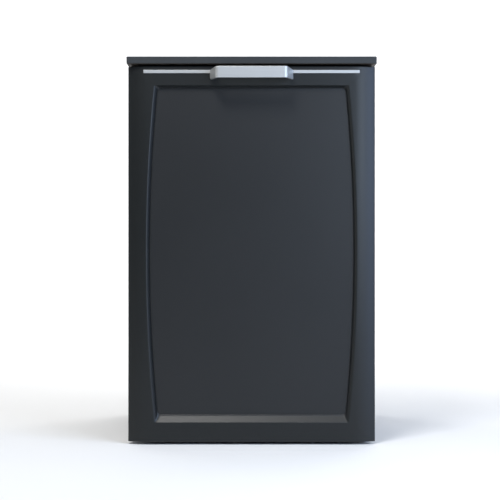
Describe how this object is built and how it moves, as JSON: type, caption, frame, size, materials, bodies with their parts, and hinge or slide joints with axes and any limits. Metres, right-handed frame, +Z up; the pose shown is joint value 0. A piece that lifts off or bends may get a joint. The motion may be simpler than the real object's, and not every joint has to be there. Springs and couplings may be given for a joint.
{
  "type": "trash compactor",
  "caption": "Under-worktop trash compactor: black bowed-panel drawer front with aluminium bar handle, pull-out bin, and a ram on two chain-driven power screws.",
  "frame": {"origin": "on the floor, in the middle of the whole outline with the handle", "axes": "+X to the right seen from the front, +Y to the back, +Z up"},
  "size_m": [0.548, 0.643, 0.85],
  "materials": {
    "laminate_top": "matte grey laminate",
    "satin_black_front": "satin black moulded panel",
    "brushed_aluminium": "brushed and anodised",
    "black_painted_steel": "fine-textured powder coat",
    "galvanised_steel": "galvanised sheet",
    "machined_steel": "turned and oiled",
    "cast_iron": "cast",
    "cast_aluminium": "die cast",
    "bronze": "turned bronze",
    "bin_plastic": "moulded polypropylene",
    "black_plastic": "fine-textured moulding",
    "grey_plastic": "satin moulding",
    "black_rubber": "matte"
  },
  "bodies": {
    "cabinet": {"worktop": "laminate_top", "back_panel": "black_painted_steel", "front_rail": "black_painted_steel", "side_panel_left": "black_painted_steel", "side_panel_right": "black_painted_steel", "rear_service_cover": "galvanised_steel", "base_pan": "galvanised_steel", "ram_frame": "galvanised_steel", "motor_bracket": "galvanised_steel", "slide_support_left": "galvanised_steel", "slide_support_right": "galvanised_steel", "slide_rail_left": "galvanised_steel", "slide_rail_right": "galvanised_steel", "drive_chain": "machined_steel", "jackshaft_bearing": "cast_iron", "motor_body": "cast_iron", "upper_bearing_left": "cast_iron", "upper_bearing_right": "cast_iron", "lower_bearing_left": "cast_iron", "lower_bearing_right": "cast_iron", "cord_gland": "black_plastic", "drawer_switch": "black_plastic", "limit_switch": "black_plastic", "start_capacitor": "grey_plastic", "control_box": "grey_plastic", "drive_belt": "black_rubber"},
    "drawer": {"drawer_front": "satin_black_front", "front_inner_pan": "black_painted_steel", "trim_strip": "brushed_aluminium", "handle": "brushed_aluminium", "control_strip": "black_plastic", "drawer_carrier": "galvanised_steel", "waste_bin": "bin_plastic", "slide_inner_left": "galvanised_steel", "slide_inner_right": "galvanised_steel"},
    "slide_middle_left": {"slide_middle_left": "galvanised_steel"},
    "slide_middle_right": {"slide_middle_right": "galvanised_steel"},
    "ram": {"ram_plate": "black_painted_steel", "ram_crossbeam": "black_painted_steel", "ram_column_left": "black_painted_steel", "ram_column_right": "black_painted_steel", "ram_nut_left": "bronze", "ram_nut_right": "bronze"},
    "screw_left": {"power_screw_left": "machined_steel", "screw_sprocket_left": "cast_iron"},
    "screw_right": {"power_screw_right": "machined_steel", "screw_sprocket_right": "cast_iron"},
    "jackshaft": {"jackshaft": "machined_steel", "drive_sprocket": "cast_iron", "driven_pulley": "cast_aluminium"},
    "motor_pulley": {"motor_pulley": "cast_aluminium"},
    "start_button": {"start_button": "grey_plastic"},
    "stop_button": {"stop_button": "grey_plastic"},
    "key_knob": {"key_knob": "grey_plastic"},
    "levelling_foot_front_left": {"levelling_foot_front_left": "black_rubber"},
    "levelling_foot_front_right": {"levelling_foot_front_right": "black_rubber"},
    "levelling_foot_rear_left": {"levelling_foot_rear_left": "black_rubber"},
    "levelling_foot_rear_right": {"levelling_foot_rear_right": "black_rubber"}
  },
  "joints": [
    {"name": "drawer_slide", "type": "slide", "parent": "cabinet", "child": "drawer", "axis": [0, -1, 0], "range_m": [0, 0.4]},
    {"name": "slide_middle_left_travel", "type": "slide", "parent": "cabinet", "child": "slide_middle_left", "axis": [0, -1, 0], "range_m": [0, 0.2]},
    {"name": "slide_middle_right_travel", "type": "slide", "parent": "cabinet", "child": "slide_middle_right", "axis": [0, -1, 0], "range_m": [0, 0.2]},
    {"name": "ram_travel", "type": "slide", "parent": "cabinet", "child": "ram", "axis": [0, 0, -1], "range_m": [0, 0.27]},
    {"name": "screw_left_spin", "type": "hinge", "parent": "cabinet", "child": "screw_left", "pos_m": [-0.2325, -0.0387, 0.4], "axis": [0, 0, 1], "continuous": true},
    {"name": "screw_right_spin", "type": "hinge", "parent": "cabinet", "child": "screw_right", "pos_m": [0.2325, -0.0387, 0.4], "axis": [0, 0, 1], "continuous": true},
    {"name": "jackshaft_spin", "type": "hinge", "parent": "cabinet", "child": "jackshaft", "pos_m": [0.045, 0.232, 0.06], "axis": [0, 0, 1], "continuous": true},
    {"name": "motor_pulley_spin", "type": "hinge", "parent": "cabinet", "child": "motor_pulley", "pos_m": [-0.12, 0.232, 0.065], "axis": [0, 0, 1], "continuous": true},
    {"name": "start_button_press", "type": "slide", "parent": "drawer", "child": "start_button", "axis": [0, 0, -1], "range_m": [0, 0.0025], "stiffness_N_per_m": 400, "springref_m": -0.001},
    {"name": "stop_button_press", "type": "slide", "parent": "drawer", "child": "stop_button", "axis": [0, 0, -1], "range_m": [0, 0.0025], "stiffness_N_per_m": 400, "springref_m": -0.001},
    {"name": "key_knob_turn", "type": "hinge", "parent": "drawer", "child": "key_knob", "pos_m": [0.04, -0.26765, 0.825], "axis": [0, 0, -1], "range_deg": [0, 90]},
    {"name": "levelling_foot_front_left_travel", "type": "slide", "parent": "cabinet", "child": "levelling_foot_front_left", "axis": [0, 0, -1], "range_m": [0, 0.01]},
    {"name": "levelling_foot_front_right_travel", "type": "slide", "parent": "cabinet", "child": "levelling_foot_front_right", "axis": [0, 0, -1], "range_m": [0, 0.01]},
    {"name": "levelling_foot_rear_left_travel", "type": "slide", "parent": "cabinet", "child": "levelling_foot_rear_left", "axis": [0, 0, -1], "range_m": [0, 0.01]},
    {"name": "levelling_foot_rear_right_travel", "type": "slide", "parent": "cabinet", "child": "levelling_foot_rear_right", "axis": [0, 0, -1], "range_m": [0, 0.01]}
  ],
  "couplings": [
    {"joint": "slide_middle_left_travel", "follows": "drawer_slide", "ratio": 0.5},
    {"joint": "slide_middle_right_travel", "follows": "drawer_slide", "ratio": 0.5},
    {"joint": "screw_left_spin", "follows": "ram_travel", "rad_per_m": 785.4},
    {"joint": "screw_right_spin", "follows": "ram_travel", "rad_per_m": 785.4},
    {"joint": "jackshaft_spin", "follows": "ram_travel", "rad_per_m": 1256.6},
    {"joint": "motor_pulley_spin", "follows": "ram_travel", "rad_per_m": 5277.9}
  ]
}
